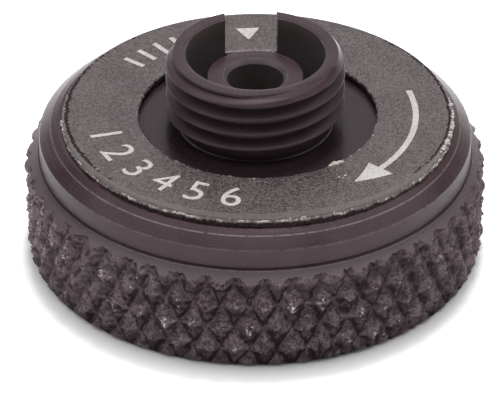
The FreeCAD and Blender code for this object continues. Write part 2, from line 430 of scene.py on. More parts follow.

# %% [markdown]
# ## Five finishes of one metal
# The whole cap went through the same bath, but each face took the dye in its own way. Smooth cuts are
# glossy, the neck and the thread are satin, the shoulder that fingers touch is paler, and the inside of the
# nose is dull, with a paler dye that paints light into the recess. The knurl glitters. All five come from
# the same function with other values, so they stay related.

# %% Anodised finishes
KNURL_DYES = (0.062, 0.041, 0.051, 1), (0.142, 0.112, 0.114, 1)
PALE_DYES = (0.064, 0.048, 0.052, 1), (0.098, 0.077, 0.082, 1)
# paler dye inside the nose: painted light in the recess
PAINTED_LIGHT_SOCKET_DYES = (0.080, 0.064, 0.064, 1), (0.110, 0.091, 0.091, 1)
METAL = (
    anodised("turned_black_anodised", DYES, gloss=0.25, ior=1.37),
    anodised("knurled_black_anodised", KNURL_DYES, gloss=0.24, ior=1.40, bare_and_highlight=BARE_METAL_AND_GLINT, streak=0.0,
             worn_amount=0.42, chip_size=0.12, relief_mm=0.04, dullness=0.30, metal=0.7),
    anodised("handled_black_anodised", PALE_DYES, gloss=0.30, ior=1.40),
    anodised("socket_painted_light_black_anodised", PAINTED_LIGHT_SOCKET_DYES, gloss=0.40, ior=1.30, streak=0.3, worn_amount=0.40),
    anodised("satin_black_anodised", DYES, gloss=0.38, ior=1.42))
TURNED, KNURLED, HANDLED, PAINTED_LIGHT_SOCKET, SATIN = range(5)
print("finishes:", [material.name for material in METAL])

# %% [markdown]
# ## Rough ground
# A pressed knurl is lumpy, and the label's punched edge is ragged. Both need randomness that is the same on
# every run. So we draw a net of random heights with a fixed seed and blend smoothly between its knots. The
# net is closed around the part, so that it has no seam. A Displace modifier with a texture couldn't also
# steer the wear_and_shade.

# %% Random hills
HILL_ROWS = 64


def hills(seed, around, spacing):
    """A function of angle and height with smooth random hills of -1 to 1."""
    heights = np.random.default_rng(seed).uniform(-1, 1, (HILL_ROWS, around))

    def level(angle, height):
        x, y = angle / math.tau * around, height / spacing
        i, j = np.floor(x).astype(int), np.floor(y).astype(int)
        s, t = x - i, y - j
        s, t = s * s * (3 - 2 * s), t * t * (3 - 2 * t)
        low, high = ((1 - s) * heights[row, i % around] + s * heights[row, (i + 1) % around]
                     for row in (j % HILL_ROWS, (j + 1) % HILL_ROWS))
        return (1 - t) * low + t * high
    return level


lumps, scuffs = hills(3, 200, 0.32), hills(4, 380, 0.17)
print("a lump and a scuff:", lumps(np.ones(1), np.ones(1)), scuffs(np.ones(1), np.ones(1)))

# %% [markdown]
# ## The knurl
# Two wheels with slanted teeth were pressed into the turning blank. Each leaves a set of slanted grooves,
# and between the crossing grooves stand small four-sided pyramids: 51 around, in rows 1.14 mm apart.
# Crossed cutters and a Boolean would make them too, but all alike. So a pyramid's height at any spot is a
# formula: the lower of two zigzags, one along each slant. Real tips are broken, no two in the same way, and
# that makes a knurl glitter: three tilted planes, drawn with a fixed seed, cut each tip.

# %% Broken pyramids
CREST_R = 10.355
KNURL_COUNT = 51
KNURL_DEPTH = 0.33
KNURL_TURN = math.radians(-91.5)
FIRST_ROW, ROW_PITCH = 0.87, 1.14
WANDER_ACROSS, WANDER_ALONG = 0.14, 0.12  # how far the wheels strayed, in half diamonds
GROOVE_ROUNDING, GROOVE_SINK = 0.03, 0.01
BREAK_LEVEL, BREAK_SPREAD, BREAK_TILT = 0.86, 0.14, 0.5
BREAKS_PER_TIP, TIP_ROWS, TIP_COLUMNS = 3, 16, 2 * KNURL_COUNT
breaks = np.random.default_rng(11).uniform(-1, 1, (BREAKS_PER_TIP, 3, TIP_ROWS, TIP_COLUMNS))


def zigzag(x):
    """1 at even numbers, 0 at odd ones, with rounded bottoms."""
    return np.sqrt(np.abs(x % 2 - 1) ** 2 + GROOVE_ROUNDING ** 2) - GROOVE_SINK


def broken_pyramids(angle, height):
    """A pyramid's height at a spot, its tip's row and column, and how far below the tip the spot lies."""
    # adding to the height reads another stretch of the same hills
    across = (angle - KNURL_TURN) * KNURL_COUNT / math.pi + WANDER_ACROSS * lumps(angle, height + 9)
    along = (height - FIRST_ROW) / ROW_PITCH + WANDER_ALONG * lumps(angle, height + 17)
    one, other = across + along, across - along
    tip_one, tip_other = np.rint(one / 2), np.rint(other / 2)
    tip = (tip_one - tip_other).astype(int) % TIP_ROWS, (tip_one + tip_other).astype(int) % TIP_COLUMNS
    u, v = one - 2 * tip_one, other - 2 * tip_other
    pyramid = np.minimum(zigzag(one), zigzag(other))
    for level, slope_u, slope_v in breaks:
        plane = BREAK_LEVEL + BREAK_SPREAD * level[tip] + BREAK_TILT * (slope_u[tip] * u + slope_v[tip] * v)
        pyramid = np.minimum(pyramid, plane)
    return pyramid, tip, v - u


print(f"{KNURL_COUNT} diamonds around, each {math.tau * CREST_R / KNURL_COUNT:.2f} mm wide")

# %% [markdown]
# ## Wear and painted shade on the knurl
# Handling rubs some tips bare, and here and there a burr shines like a spark; more of both on the left
# paint a highlight there. The grooves and the lower half of each pyramid get painted shade, random patches
# are darker, and painted shade darkens the front right. Painting that by hand would take an evening. The
# same formula that shapes the pyramid knows all of it, so it gives the wear_and_shade along with it.

# %% Knurl shape, rubbing and painted shade
LUMP_SHARE, SCUFF_SHARE, GRIT = 0.24, 0.30, 0.13
BURR_SHARE = 0.008  # the grittiest points, fewer than one in a hundred, are rubbed burrs
HIGHEST_RUB = 4.0  # fingers don't reach the tips just under the shoulder
DARKEST_GROOVE_SHADE = 0.52
rubbed, shades = np.random.default_rng(12).uniform(0, 1, (2, TIP_ROWS, TIP_COLUMNS))


def knurl(angle, height, grit=0.0):
    """The knurl's height, 0 in the grooves to 1, and its wear_and_shade: up to 1 on rubbed tips, below 0
    where shade is painted in the grooves and on the lower halves.
    """
    pyramid, tip, below_tip = broken_pyramids(angle, height)
    rough = LUMP_SHARE * lumps(angle, height) + SCUFF_SHARE * scuffs(angle, height) + grit
    level = np.clip(pyramid + rough * (0.4 + 0.6 * np.clip(pyramid, 0, 1)), 0, 1)
    # more tips and burrs are rubbed bare on the left, which paints a highlight there; painted shade darkens
    # the front right
    rubbed_and_left_highlight = np.clip(1.4 * rubbed[tip] - 0.4 - 0.2 * np.cos(angle), 0, 1)
    bare_and_highlight = ramp(level, 0.70, 0.85) * rubbed_and_left_highlight * ramp(height, HIGHEST_RUB, HIGHEST_RUB - 0.2)
    burrs_and_left_highlight = grit > GRIT * (1 - BURR_SHARE * (1 - 0.6 * np.cos(angle + 0.4)))
    toward_front = 1 - 0.5 * np.abs(np.cos(angle)) ** 3
    # painted shade on the lower half of each pyramid, less toward the sides
    underside = np.clip(4 * below_tip, 0, 1) * (0.40 + 0.35 * shades[tip]) * toward_front
    # painted shade in the grooves
    groove = np.clip((0.40 + 0.3 * lumps(angle, height + 3) - level) / 0.5, 0, DARKEST_GROOVE_SHADE)
    # random darker patches, and painted shade at the front right
    patches_and_side_shade = 0.2 * scuffs(angle, height + 11) + 0.14 * np.clip(np.cos(angle + 0.9), 0, 1) ** 4
    return level, np.maximum(bare_and_highlight, burrs_and_left_highlight) - np.clip(groove + underside + patches_and_side_shade, 0, 1)


def knurl_radius(angle, height):
    return CREST_R - KNURL_DEPTH * (1 - knurl(angle, height)[0])


print("radius at the front, 2 mm up:", knurl_radius(np.array([KNURL_TURN]), np.array([2.0])).round(3))

# %% [markdown]
# ## Where the knurl ends
# The bevels above and below slice through the pyramids, and that gives the shoulder its saw-tooth line. If
# the rings stayed level, the line would look like stairs. So for every angle we look for the height where
# pyramid and bevel meet, and let the knurl's first and last rings follow it.

# %% Knurl rings
FOOT_EDGE_R = 9.96
SHOULDER_Z, SHOULDER_WIDTH, SHOULDER_RISE = 4.35, 0.66, 0.46
NECK_R, NECK_Z = CREST_R - SHOULDER_WIDTH, SHOULDER_Z + SHOULDER_RISE
FINE, COARSE = 1020, 255  # columns of the knurl and of the plain parts
KNURL_RINGS = 66
LOW_GUESS, SETTLING_ROUNDS = 0.3, 30
BEVEL_STEP_IN, BEVEL_STEP_UP = 0.022, 0.015  # the bevel's first ring, just past the saw-tooth line
fine, coarse = directions(FINE), directions(COARSE)
low, high = np.full(FINE, LOW_GUESS), np.full(FINE, SHOULDER_Z)
for _ in range(SETTLING_ROUNDS):
    low = 0.5 * low + 0.5 * (knurl_radius(fine, low) - FOOT_EDGE_R)
    high = SHOULDER_Z + (CREST_R - knurl_radius(fine, high)) * SHOULDER_RISE / SHOULDER_WIDTH

grip_rings = []
grit_draw = np.random.default_rng(6)
for share in np.linspace(0, 1, KNURL_RINGS):
    height = low + share * (high - low)
    level, wear_and_shade = knurl(fine, height, grit_draw.uniform(-GRIT, GRIT, FINE) if 0 < share < 1 else 0.0)
    grip_rings.append((ring(fine, CREST_R - KNURL_DEPTH * (1 - level), height, wear_and_shade), KNURLED))
grip_rings.append((ring(fine, knurl_radius(fine, high) - BEVEL_STEP_IN, high + BEVEL_STEP_UP), HANDLED))
print(f"knurl from {low.min():.2f} to {high.max():.2f} mm")

# %% [markdown]
# ## Shoulder, neck and deck
# Above the knurl the lathe left a bevelled shoulder, a plain neck, two bevels and the flat deck. A tool
# can't cut a perfectly sharp corner, and a perfectly sharp edge wouldn't catch any light, so each corner of
# the section is eased. A Bevel modifier would do that too, but it can't give each corner its own
# wear_and_shade. A fine groove in the corner of the shoulder is the tool's relief cut, darkened with painted
# shade, and the deck around the nose gets painted shade too.

# %% Shoulder to deck
NECK_TOP_Z, DECK_RIM_R, DECK_RIM_Z, DECK_R, DECK_Z = 5.75, 9.15, 6.17, 8.84, 6.34
DECK_FLAT_R = DECK_R - 0.5
DECK_SHADE = -0.55  # painted shade on the deck around the nose, inside the label's hole
PLUG_R = 3.5  # the nose is made as a piece of its own, and its root fills a hole of this radius
CORNER_BAND = 0.05
# the two points in the relief groove at the neck's foot get painted shade, with values below 0
upper_section = [
    (CREST_R - 0.45, SHOULDER_Z + 0.315, 0, 0), (NECK_R + 0.06, NECK_Z - 0.042, 0.015, 0.7),
    (NECK_R - 0.05, NECK_Z, 0.01, -1), (NECK_R - 0.02, NECK_Z + 0.07, 0.03, -0.5),
    (NECK_R - 0.03, NECK_TOP_Z, 0.06, 0.35), (DECK_RIM_R, DECK_RIM_Z, 0.05, 0.45),
    (DECK_R, DECK_Z, 0.0, 0.0), (DECK_FLAT_R, DECK_Z, 0, 0)]
for radius, height, wear_and_shade in eased(upper_section):
    on_neck = NECK_Z + CORNER_BAND < height < NECK_TOP_Z - CORNER_BAND
    finish = HANDLED if radius > NECK_R + CORNER_BAND else SATIN if on_neck else TURNED
    grip_rings.append((ring(coarse, radius, height, wear_and_shade), finish))
for radius in (DECK_FLAT_R, 7.0, 5.6, 4.6, PLUG_R):
    grip_rings.append((ring(coarse, radius, DECK_Z, DECK_SHADE), TURNED))
print(len(grip_rings), "rings up to the deck")

# %% [markdown]
# ## A thread
# The skirt and the nose both carry a thread: one groove that climbs a pitch on each turn. A helix swept by
# a modifier would have to be cut out of the wall afterwards. With rings it is simpler: the groove's depth
# depends only on the height less a share of the angle. Real crests are a little round, so four nudged
# copies are averaged.

# %% Thread shape
NUDGES = (-0.03, -0.01, 0.01, 0.03)  # in pitches


def thread(angle, height, pitch, crest_height, crest_flat, root_flat):
    """0 at the root to 1 at the crest of a right-handed thread; at angle 0 a crest is at crest_height."""
    def profile(phase):
        away = np.abs((phase + 0.5) % 1 - 0.5)
        return np.clip((0.5 - root_flat / 2 - away) / (0.5 - (root_flat + crest_flat) / 2), 0, 1)
    phase = (height - crest_height) / pitch - angle / math.tau
    return sum(profile(phase + nudge) for nudge in NUDGES) / len(NUDGES)


print("half a pitch below its crest a thread stands at", thread(np.zeros(1), 0.0, 1.0, 0.5, 0.1, 0.1))

# %% [markdown]
# ## The hollow underside
# The skirt is hollow, and a thread inside it takes the instrument's port, with a relief groove at its end
# where the tool stopped. A plain hole would do for the portrait, since nobody sees it there. But the cap
# may be turned over, so this is a fair guess: about 16 mm by 1 mm.

# %% Underside and grip
PORT_R, PORT_THREAD_DEPTH, PORT_PITCH = 7.5, 0.54, 1.0
PORT_CREST_FLAT, PORT_ROOT_FLAT = 0.12, 0.2
PORT_END_Z, RELIEF_R, RELIEF_Z = 4.60, 8.1, 3.70
LEAD_IN, LOWEST_THREAD_Z, RINGS_PER_PITCH = 0.5, 0.42, 20
FOOT_WEAR = 0.3
GRIP_SHARP_DEGREES = 25
for radius, height in (
        (PLUG_R, PORT_END_Z), (5.5, PORT_END_Z), (RELIEF_R - 0.1, PORT_END_Z), (RELIEF_R, PORT_END_Z - 0.1),
        (RELIEF_R, RELIEF_Z + 0.05), (RELIEF_R - 0.03, RELIEF_Z)):
    grip_rings.append((ring(coarse, radius, height), TURNED))
for height in np.arange(RELIEF_Z, LOWEST_THREAD_Z, -PORT_PITCH / RINGS_PER_PITCH):
    groove = 1 - thread(coarse, height, PORT_PITCH, 0.0, PORT_CREST_FLAT, PORT_ROOT_FLAT)
    wall = np.maximum(PORT_R + PORT_THREAD_DEPTH * groove, PORT_R + max(0.0, LEAD_IN - height))
    grip_rings.append((ring(coarse, wall, height), TURNED))
for radius, height in ((PORT_R + 0.55, 0.02), (PORT_R + 0.58, 0.0)):
    grip_rings.append((ring(coarse, radius, height), TURNED))
for radius, height in ((FOOT_EDGE_R - 0.06, 0.0), (FOOT_EDGE_R, 0.01)):
    grip_rings.append((ring(fine, radius, height, FOOT_WEAR), TURNED))

grip = new_piece("knurled_grip", *skin(grip_rings), METAL, GRIP_SHARP_DEGREES)
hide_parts("adapter_body")

# %% [markdown]
# ## The keyway's columns
# The keyway in the nose is milled: its walls are flat and parallel. A Boolean would cut it, but leaves
# slivers along the thread. To get flat walls out of rings instead, the columns beside the slot are bent so
# that they lie at half the slot's width from its middle at every radius.

# %% Nose columns
RIM_Z, RIM_R, RIM_BEVEL = 9.84, 3.67, 0.8
SOCKET_R, SOCKET_Z = 3.10, 5.94
SILL_Z, KEYWAY_HALF = 7.34, 1.175
NOSE_COLUMNS, SLOT_COLUMNS = 360, 38
ROUNDING = 1e-9  # so that the slot's edge columns count as inside it
SLOT_LEFT, SLOT_RIGHT = (NOSE_COLUMNS - SLOT_COLUMNS) // 2, (NOSE_COLUMNS + SLOT_COLUMNS) // 2
nominal = directions(NOSE_COLUMNS) - math.pi  # measured from the keyway's middle, which faces +Y
nominal_edge = math.tau * SLOT_COLUMNS / 2 / NOSE_COLUMNS


def nose_ring(radius, height, wear_and_shade=0.0):
    """A ring whose columns bend so that the slot's two edge columns lie on the keyway's flat walls."""
    edge = np.arcsin(KEYWAY_HALF / np.maximum(np.broadcast_to(radius, nominal.shape), SOCKET_R))
    in_slot = np.abs(nominal) <= nominal_edge + ROUNDING
    outside_angle = edge + (np.abs(nominal) - nominal_edge) * (math.pi - edge) / (math.pi - nominal_edge)
    bent = np.where(in_slot, nominal * edge / nominal_edge, np.sign(nominal) * outside_angle)
    return ring(bent + math.pi / 2, radius, height, wear_and_shade)


print("slot edges at columns", SLOT_LEFT, "and", SLOT_RIGHT)

# %% [markdown]
# ## The nose's thread
# The connector's nut runs on this thread: 8 mm across, 0.75 mm pitch, right-handed. Its groove runs out
# through the flat rim, so the rim is wide on one side and narrow on the other: at the very top a thin lip
# narrows along the turn. At its foot the thread ends in a plain groove with a small fillet, where the tool
# ran out. A Screw modifier would wind the thread, but both its ends would have to be mended by hand. Here
# the wall is a rule for each height, so the ends are just two more lines of it.

# %% Nose wall
CREST_NOSE_R, ROOT_NOSE_R, NOSE_PITCH = 3.985, 3.46, 0.75
NOSE_CREST_FLAT, NOSE_ROOT_FLAT = 0.11, 0.10
CREST_FRONT = RIM_Z - 0.37  # the topmost crest, where the thread faces the camera
FLANK_SLOPE = 1.73  # a 60 degree thread's flank goes out by this for each step along the axis
LIP_HEIGHT, LIP_END = 0.12, math.radians(45)  # the rim's lip thins out to nothing at this angle
UNDERCUT, RUN_OUT, ROOT_FILLET = 0.45, 0.2, 0.05
FRONT = -math.pi / 2 - TURN


def nose_wall(height):
    """Radius of the threaded wall at each column, and the share of the thread's height there."""
    turn = nominal + math.pi / 2 - FRONT
    share = thread(turn, height, NOSE_PITCH, CREST_FRONT, NOSE_CREST_FLAT, NOSE_ROOT_FLAT)
    share = share * ramp(height, DECK_Z + UNDERCUT, DECK_Z + UNDERCUT + RUN_OUT)
    wall = ROOT_NOSE_R + np.maximum((CREST_NOSE_R - ROOT_NOSE_R) * share, DECK_Z + ROOT_FILLET - height)
    if height > RIM_Z - LIP_HEIGHT:
        runs_out = (turn + math.pi) % math.tau - math.pi - LIP_END
        lip = ROOT_NOSE_R - FLANK_SLOPE * NOSE_PITCH * runs_out / math.tau
        wall = np.maximum(wall, np.clip(lip, ROOT_NOSE_R, RIM_R))
    return np.minimum(wall, RIM_R + RIM_BEVEL * (RIM_Z - height)), share


sample = nose_wall(RIM_Z - 1)[0]
print(f"1 mm below the rim the nose's wall is {sample.min():.2f} to {sample.max():.2f} mm from the axis")

# %% [markdown]
# ## Wall, rim, socket, boss and bore
# The walk goes up the plug that fills the deck's hole, up the thread, over the rim, down into the socket,
# up the boss, and down the ferrule's bore. The rings of the outer and inner wall that lie exactly at the
# keyway's floor are remembered, because the slot is cut out of the skin between them. Separate solids for
# nose and boss would be easier, but then light could leak between them.

# %% Nose rings
BOSS_R, BOSS_Z, FERRULE_R, COUNTERSINK = 2.13, 8.69, 1.25, 0.20
PLUG_TOP_Z = DECK_Z - 0.06
LOWER_RINGS, UPPER_RINGS = 40, 93
# painted shade: darker in the thread's grooves and toward its foot
GROOVE_SHADE, FOOT_SHADE = 0.3, 0.1
nose_rings = [nose_ring(PLUG_R, PORT_END_Z), nose_ring(PLUG_R, PLUG_TOP_Z)]
levels = (*np.linspace(PLUG_TOP_Z, SILL_Z, LOWER_RINGS), *np.linspace(SILL_Z, RIM_Z, UPPER_RINGS)[1:])
outer_sill = len(nose_rings) + LOWER_RINGS - 1
for height in levels:
    wall, share = nose_wall(height)
    foot_shade = -FOOT_SHADE * ramp(height, DECK_Z + 0.9, DECK_Z + 0.84)
    wear_and_shade = np.minimum(GROOVE_SHADE * (share - 1) * (height > DECK_Z + UNDERCUT), foot_shade)
    if height < DECK_Z + ROOT_FILLET:
        wear_and_shade = 1.1 * ramp(np.abs(np.sin(nominal)), 0.64, 0.84) - 0.6  # painted highlight at both sides of the fillet, through its rubbed colour; painted shade at the front and back
    nose_rings.append(nose_ring(wall, height, wear_and_shade))
for radius, height, wear_and_shade in (
        (SOCKET_R + 0.22, RIM_Z, 0), (SOCKET_R + 0.05, RIM_Z, 0), (SOCKET_R + 0.015, RIM_Z - 0.015, 0.2),
        (SOCKET_R, RIM_Z - 0.05, 0), (SOCKET_R, RIM_Z - 0.3, 0), (SOCKET_R, 8.6, 0)):
    nose_rings.append(nose_ring(radius, height, wear_and_shade))
inner_sill = len(nose_rings)
inner_section = [
    (SOCKET_R, SILL_Z - 0.2, 0, 0), (SOCKET_R, SOCKET_Z, 0.1, 0), (BOSS_R, SOCKET_Z, 0.1, 0),
    (BOSS_R, BOSS_Z, 0.07, 0.25), (FERRULE_R + COUNTERSINK, BOSS_Z, 0.03, 0.1),
    (FERRULE_R, BOSS_Z - COUNTERSINK, 0.03, 0.2), (FERRULE_R, PORT_END_Z + 0.25, 0, 0),
    (FERRULE_R + 0.25, PORT_END_Z, 0, 0), (PLUG_R, PORT_END_Z, 0, 0)]
nose_rings.append(nose_ring(SOCKET_R, SILL_Z))
for radius, height, wear_and_shade in eased(inner_section):
    nose_rings.append(nose_ring(radius, height, wear_and_shade))
print(len(nose_rings), "rings, keyway floor at rings", outer_sill, "and", inner_sill)

# %% [markdown]
# ## Cutting the keyway
# The quads inside the slot are left out above its floor. The floor is a row of quads from the outer ring to
# the inner one, and each side wall is one flat many-sided face that follows the thread's zigzag, the rim
# and the socket. Blender divides such a face into triangles by itself. The finish of each face follows from
# its place.

# %% Nose mesh
NOSE_SHARP_DEGREES = 40
points, faces, _ = skin([(points, TURNED) for points in nose_rings])
kept = [face for i, face in enumerate(faces)
        if not (outer_sill <= i // NOSE_COLUMNS < inner_sill and SLOT_LEFT <= i % NOSE_COLUMNS < SLOT_RIGHT)]
for column in range(SLOT_LEFT, SLOT_RIGHT):
    outer, inner = outer_sill * NOSE_COLUMNS + column, inner_sill * NOSE_COLUMNS + column
    kept.append([outer, outer + 1, inner + 1, inner])
left_wall, right_wall = ([i * NOSE_COLUMNS + column for i in range(outer_sill, inner_sill + 1)]
                         for column in (SLOT_LEFT, SLOT_RIGHT))
kept += [left_wall[::-1], right_wall]

face_at = np.array([points[face].mean(axis=0) for face in kept])
face_r, face_z = np.hypot(face_at[:, 0], face_at[:, 1]), face_at[:, 2]
mouth_z = BOSS_Z - COUNTERSINK - 0.03
in_socket = (face_r < SOCKET_R) & ((face_r > BOSS_R) | (face_z < mouth_z)) & (face_z > PORT_END_Z + 0.01)
on_thread = (face_r > SOCKET_R + 0.2) & (face_z < RIM_Z - 0.15)
in_mouth = (face_r < FERRULE_R + COUNTERSINK) & (face_z > mouth_z)
finishes = np.select((in_socket, on_thread, in_mouth), (PAINTED_LIGHT_SOCKET, SATIN, HANDLED), TURNED)
nose = new_piece("threaded_nose", points, kept, finishes, METAL, NOSE_SHARP_DEGREES)
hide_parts("adapter_body")

# %% [markdown]
# ## The label's film
# The label is matt plastic film on a thicker core, punched out of a sheet. Under the lens the film is
# finely embossed, its colour a warm grey. Along its rim the punch pressed it smooth, its cut wall gets
# painted shade, and where it tore, the raw core is nearly white. One material with painted masks could hold
# all that.
# Three finishes from one function are simpler, and the wear_and_shade value turns each of them to raw white,
# or nearly to black where shade is painted.

# %% Label finishes
# the first colour is painted shade, the second the raw core
LABEL_PAINTED_SHADE, RAW_CORE = (0.008, 0.005, 0.006, 1), (0.62, 0.58, 0.54, 1)
FILM_SHEEN = (1.0, 0.92, 0.93, 1)
FILM_GRAIN = {"Grain Size mm": 0.09, "Unevenness": 0.2}
TORN_EDGE = {"Amount": 0.66, "Chip Size mm": 0.08}


def label_film(name, dark, pale, relief_mm, ior):
    """Plastic film between two greys; worn edges show the pale core, and painted shade turns it nearly black.
    """
    material, tree, shader = new_material(name)
    grain = use_group(tree, fine_grain, FILM_GRAIN)["Grain"]
    edge = use_group(tree, worn_edges_and_shade, TORN_EDGE)
    grey = blend(tree, spread_out(tree, grain, 0.41, 0.61), dark, pale)
    colour = blend(tree, edge["Worn And Highlight"], blend(tree, edge["Painted Shade"], grey, LABEL_PAINTED_SHADE), RAW_CORE)
    tree.links.new(colour, shader.inputs["Base Color"])
    tree.links.new(spread_out(tree, grain, 0.3, 0.7, 0.30, 0.42), shader.inputs["Roughness"])
    bump = add(tree, "Bump", {"Height": grain, "Strength": 1.0, "Distance": relief_mm * MM})
    tree.links.new(bump.outputs["Normal"], shader.inputs["Normal"])
    shader.inputs["IOR"].default_value = ior
    shader.inputs["Specular Tint"].default_value = FILM_SHEEN
    return material


LABEL_FILMS = (
    label_film("matt_label_film", (0.026, 0.019, 0.020, 1), (0.098, 0.074, 0.076, 1),
               relief_mm=0.026, ior=1.58),
    label_film("smooth_label_margin", (0.084, 0.066, 0.067, 1), (0.112, 0.088, 0.089, 1),
               relief_mm=0.004, ior=1.58),
    # painted shade: a dark, dull film for the cut wall and the gaping crease
    label_film("painted_shade_label_wall", (0.022, 0.014, 0.015, 1), (0.050, 0.035, 0.037, 1),
               relief_mm=0.02, ior=1.12))
FILM, MARGIN, PAINTED_SHADE_WALL = range(3)
print("finishes:", [material.name for material in LABEL_FILMS])

# %% [markdown]
# ## How the label's edge tore
# The punch left a ragged edge with flecks of raw core in runs, many at the right and few at the back. At
# the left and right a thin crease has opened along its rim. A displacement texture could do this, but then
# the mesh itself would be smooth. So we write each of these as a number around the label, from our random
# hills and from weights that favour a direction.

# %% Tears around the label
LABEL_SHIFT, LABEL_R, LABEL_HOLE_R, LABEL_TOP_Z = 0.11, 8.81, 5.29, 6.71
LABEL_COLUMNS = 2000
HILLS_AROUND = (130, 400, 900)
MIDDLE_SHARE = 0.5
round_label = directions(LABEL_COLUMNS)
level_label = np.zeros(LABEL_COLUMNS)


def ragged(seed, coarse_share, fine_share):
    """A noise of about -1 to 1 around the label, with long and short runs."""
    shares = (coarse_share, MIDDLE_SHARE, fine_share)
    return sum(share * hills(seed + k, count, 1.0)(round_label, level_label)
               for k, (count, share) in enumerate(zip(HILLS_AROUND, shares)))


def near(degrees, sharpness):
    """1 in this direction, fading to 0 around the label."""
    return (0.5 + 0.5 * np.cos(round_label - math.radians(degrees))) ** sharpness


jag_out, jag_in = np.clip(ragged(5, 0.3, 0.4), -0.3, 1), ragged(8, 0.3, 0.4)
runs = hills(61, 60, 1.0)(round_label, level_label)
flecks_out = np.clip(0.05 + 1.0 * ragged(31, 0.4, 0.6) + 0.6 * runs + 0.7 * near(-10, 20)
                     + 0.15 * near(200, 5) - 0.35 * near(-45, 8) - 0.45 * near(90, 2), 0, 1)
flecks_in = np.clip(0.9 * ragged(37, 0.5, 0.3) - 0.12 - 0.6 * near(90, 6), 0, 1)
crease = np.clip(1.3 * near(188, 8) + 1.1 * near(-8, 8) - 1.4 * near(-98, 5)
                 + 0.4 * ragged(41, 0.5, 0.7) - 0.1, 0, 1)
front = near(-90, 6)
print(f"raw core on {np.mean(flecks_out > 0.3):.0%} of the rim, creased on {np.mean(crease > 0.3):.0%}")

# %% [markdown]
# ## The label's rim
# From the deck the rings climb the cut wall, push in and out with the tears, and droop over the rim. At the
# front the punch pressed a broad smooth margin. Then the skin dips into the crease, which is deepest where
# the crease number is high. A separate strip of torn film would have to be glued on without a gap: rings
# can't come apart.

# %% Rim rings
BRINK = 0.16  # where the droop ends and the flat top starts
CREASE_DEPTH = 0.05
margin = BRINK + 0.42 * front
edge_z = LABEL_TOP_Z - np.maximum(0.22 - 0.15 * front - 0.05 * ragged(55, 0.9, 0.3), 0.06)
label_rings = []
# the two rings on the cut wall take the finish that paints shade
for inset, height, push, lift, raw_core_and_shade, finish in (
        (0.03 + 0.05 * front, DECK_Z, 0.0, 0.0, 0.0, PAINTED_SHADE_WALL),
        (0.04 + 0.04 * front, edge_z - 0.11, 0.05, 0.0, 0.0, PAINTED_SHADE_WALL),
        (0.05, edge_z - 0.07, 0.09, 0.02, 0.3, MARGIN), (0.07, edge_z - 0.03, 0.09, 0.06, 1.0, MARGIN),
        (0.10, edge_z, 0.07, 0.03, 0.8, MARGIN), (0.13, edge_z + 0.01, 0.03, 0.0, 0.1, MARGIN)):
    rim = LABEL_R - inset + push * jag_out
    label_rings.append((ring(round_label, rim, height + lift * flecks_out, raw_core_and_shade * flecks_out), finish))
for inset in (BRINK, BRINK + 0.006 + 0.05 * front):
    label_rings.append((ring(round_label, LABEL_R - inset, LABEL_TOP_Z), MARGIN))
tear = margin + np.maximum(0.06 + 0.05 * ragged(45, 0.3, 0.8), 0.04)
gape = np.maximum(0.04 + 0.03 * ragged(51, 0.3, 0.8) + 0.05 * near(195, 4), 0.01)
crease_rows = slice(len(label_rings), len(label_rings) + 3)
for inset, sunk in ((-0.03, 0.0), (0.0, 1.0), (gape, 1.0), (gape + 0.04, 0.0)):
    crease_z = LABEL_TOP_Z - CREASE_DEPTH * sunk * crease
    label_rings.append((ring(round_label, LABEL_R - tear - inset, crease_z), FILM))
print(len(label_rings), "rings over the rim, the crease from ring", crease_rows.start, "to", crease_rows.stop)

# %% [markdown]
# ## The label's top and hole
# The flat top needs only a few rings. The hole around the nose was punched too, so its edge gets tears and
# flecks of its own, and painted shade at its foot. Where the crease gapes its faces take the wall's finish,
# which paints shade there. The label was stuck on a little off centre, and so is ours.

# %% Label mesh
OPEN_CREASE = 0.3
LABEL_SHARP_DEGREES = 50
for radius in (8.0, 7.4, 6.6, 5.9):
    label_rings.append((ring(round_label, radius, LABEL_TOP_Z), FILM))
# the last ring, where the hole's wall meets the deck, gets painted shade
for inset, drop, push, lift, raw_core_and_shade in (
        (0.16, 0.0, 0.0, 0.0, 0.0), (0.10, 0.01, 0.02, 0.02, 0.3), (0.05, 0.04, 0.04, 0.04, 0.9),
        (0.02, 0.10, 0.05, 0.02, 1.0), (0.05, 0.17, 0.03, 0.0, 0.0),
        (0.10, LABEL_TOP_Z - DECK_Z, 0.0, 0.0, -1.0)):
    hole, height = LABEL_HOLE_R + inset + push * jag_in, LABEL_TOP_Z - drop + lift * flecks_in
    label_rings.append((ring(round_label, hole, height, raw_core_and_shade * flecks_in), FILM))
points, faces, finishes = skin(label_rings)
finishes = np.array(finishes).reshape(-1, LABEL_COLUMNS)
finishes[crease_rows] = np.where(crease > OPEN_CREASE, PAINTED_SHADE_WALL, FILM)
points[:, 0] += LABEL_SHIFT
label = new_piece("face_label_film", points, faces, finishes.ravel(), LABEL_FILMS, LABEL_SHARP_DEGREES)
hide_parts("face_label")

# %% [markdown]
# ## Print on the label
# The label carries a few plain marks in white, as a printer would screen them on: an arrow that shows which
# way the cap is screwed on, numbers from 1 to 6, a row of bars and an index at the keyway. An image texture
# could carry them, but thin bars keep their sharp edges close up. A stroke is a bar that follows a path.

# %% Pen strokes
PRINT_LOW, PRINT_HIGH = LABEL_TOP_Z - 0.01, LABEL_TOP_Z + 0.012


def on_label(degrees, radius):
    angle = np.radians(degrees)
    return np.column_stack((LABEL_SHIFT + radius * np.cos(angle), radius * np.sin(angle)))


